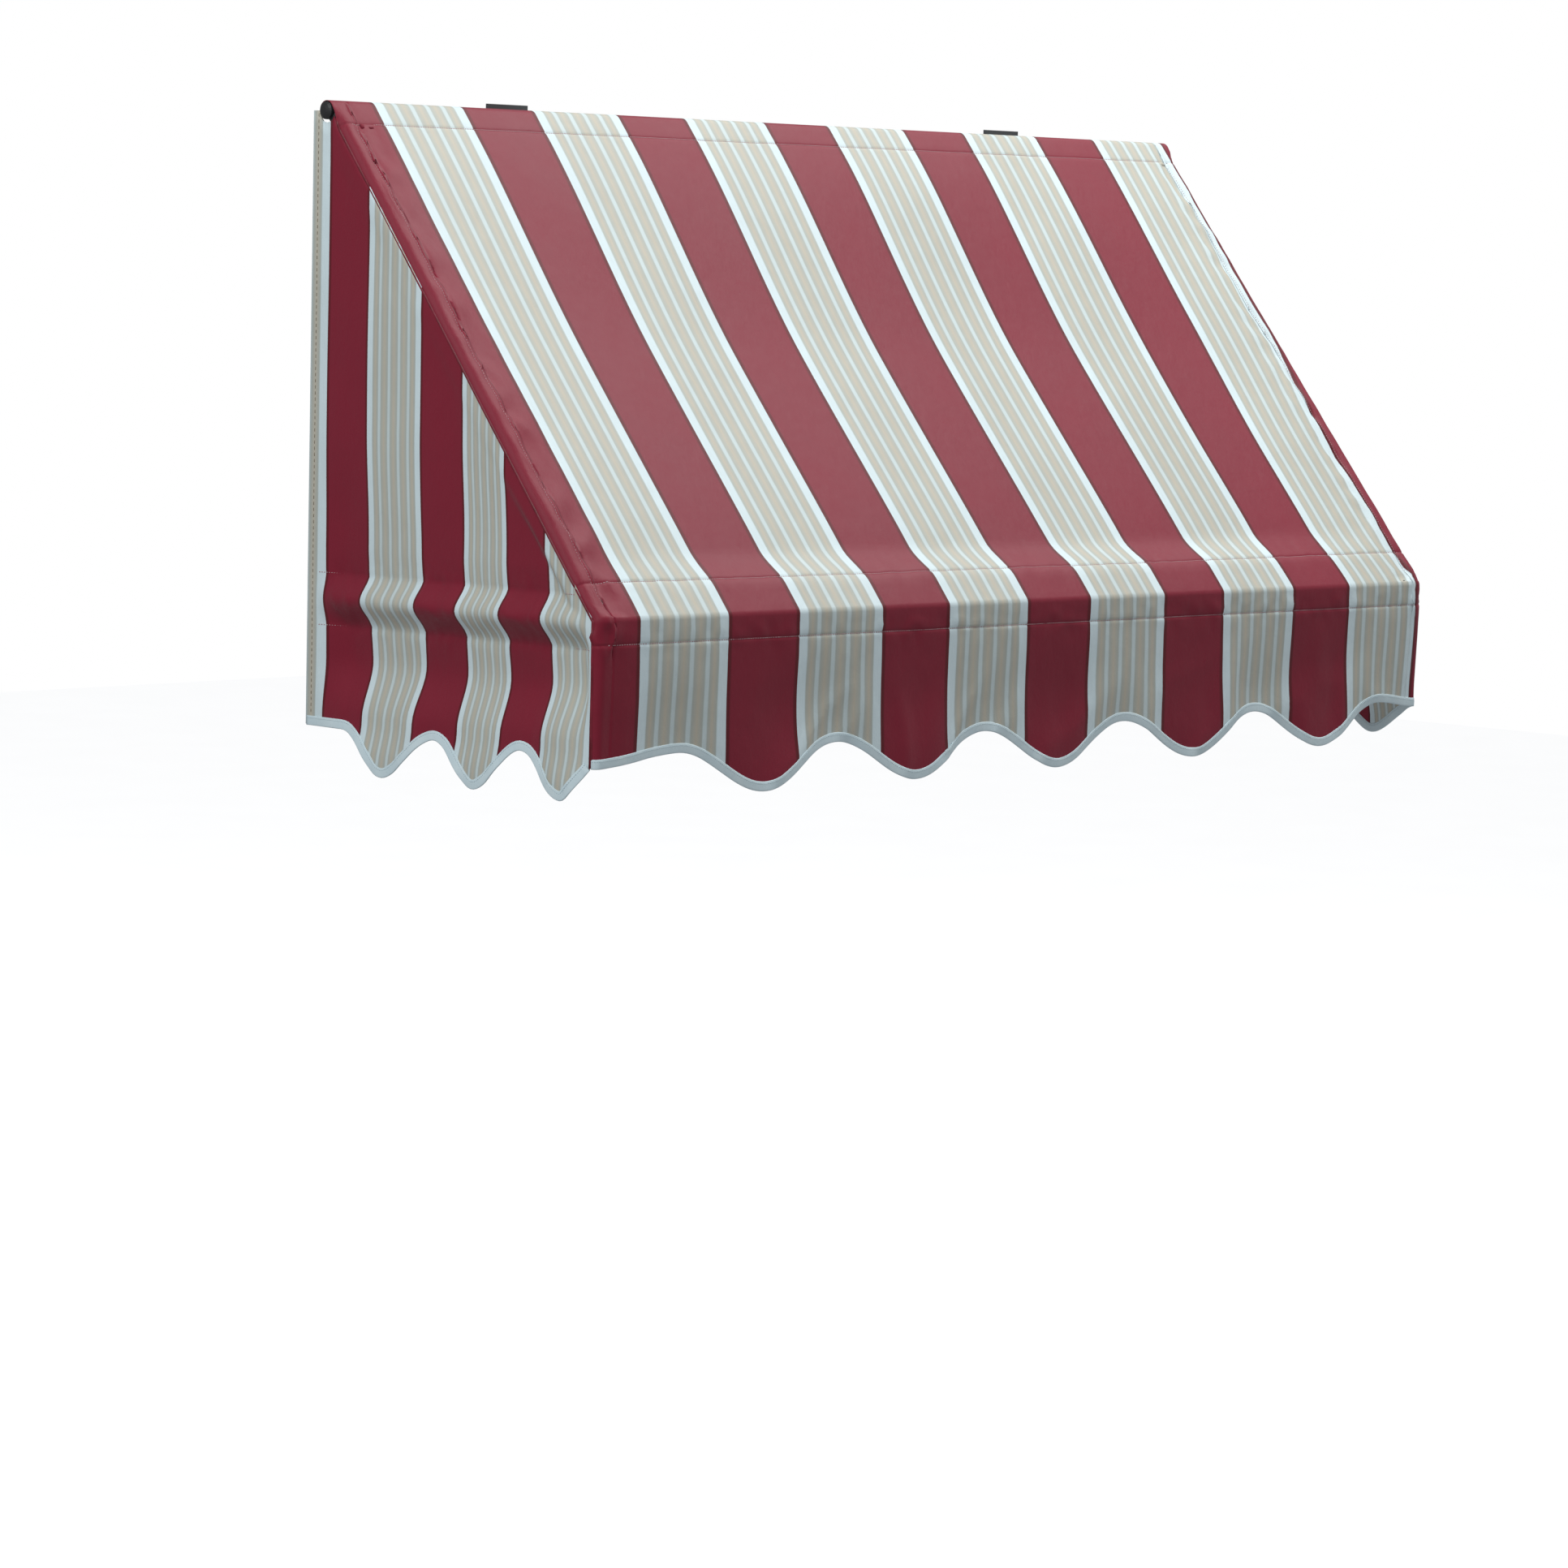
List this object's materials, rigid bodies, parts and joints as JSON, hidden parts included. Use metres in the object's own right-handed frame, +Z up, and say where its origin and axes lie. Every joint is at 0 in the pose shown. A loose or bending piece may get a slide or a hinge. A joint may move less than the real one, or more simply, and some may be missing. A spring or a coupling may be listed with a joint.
{
  "type": "window awning",
  "caption": "Wall-hung window awning: striped cloth roof, side panels and scalloped valance over a wedge-shaped frame of round tube on wall brackets.",
  "frame": {"origin": "the wall plane, halfway along the top bar and level with its axis", "axes": "+X to the right along the wall seen from outside, +Y into the wall, +Z up; the awning projects towards -Y"},
  "size_m": [1.8156, 0.5976, 0.9425],
  "materials": {
    "striped_cloth": "coated polyester, red and pale stripes, matt",
    "pale_binding": "woven binding tape, matt",
    "frame_paint": "powder-coated steel tube, satin",
    "bracket_paint": "powder-coated steel sheet, satin",
    "black_plastic": "moulded nylon, fine grain",
    "zinc_steel": "zinc-plated"
  },
  "bodies": {
    "root": {"canopy_cloth": "striped_cloth", "side_panel_left": "striped_cloth", "side_panel_right": "striped_cloth", "front_bar_pocket": "striped_cloth", "arm_pocket_left": "striped_cloth", "arm_pocket_right": "striped_cloth", "valance_binding_front": "pale_binding", "valance_binding_left": "pale_binding", "valance_binding_right": "pale_binding", "top_bar": "frame_paint", "front_bar": "frame_paint", "side_arm_left": "frame_paint", "side_arm_right": "frame_paint", "rafter_left": "frame_paint", "rafter_right": "frame_paint", "top_wall_bracket_left": "bracket_paint", "top_wall_bracket_right": "bracket_paint", "lower_wall_bracket_left": "bracket_paint", "lower_wall_bracket_right": "bracket_paint", "front_corner_left": "black_plastic", "front_corner_right": "black_plastic", "top_corner_left": "black_plastic", "top_corner_right": "black_plastic", "top_bar_cap_left": "black_plastic", "top_bar_cap_right": "black_plastic", "front_bar_screw_left": "zinc_steel", "front_bar_screw_right": "zinc_steel", "arm_front_screw_left": "zinc_steel", "arm_front_screw_right": "zinc_steel", "rafter_lower_screw_left": "zinc_steel", "rafter_lower_screw_right": "zinc_steel", "rafter_upper_screw_left": "zinc_steel", "rafter_upper_screw_right": "zinc_steel", "top_bar_screw_left": "zinc_steel", "top_bar_screw_right": "zinc_steel", "arm_bolt_left": "zinc_steel", "arm_bolt_right": "zinc_steel", "arm_nut_left": "zinc_steel", "arm_nut_right": "zinc_steel"}
  },
  "joints": []
}
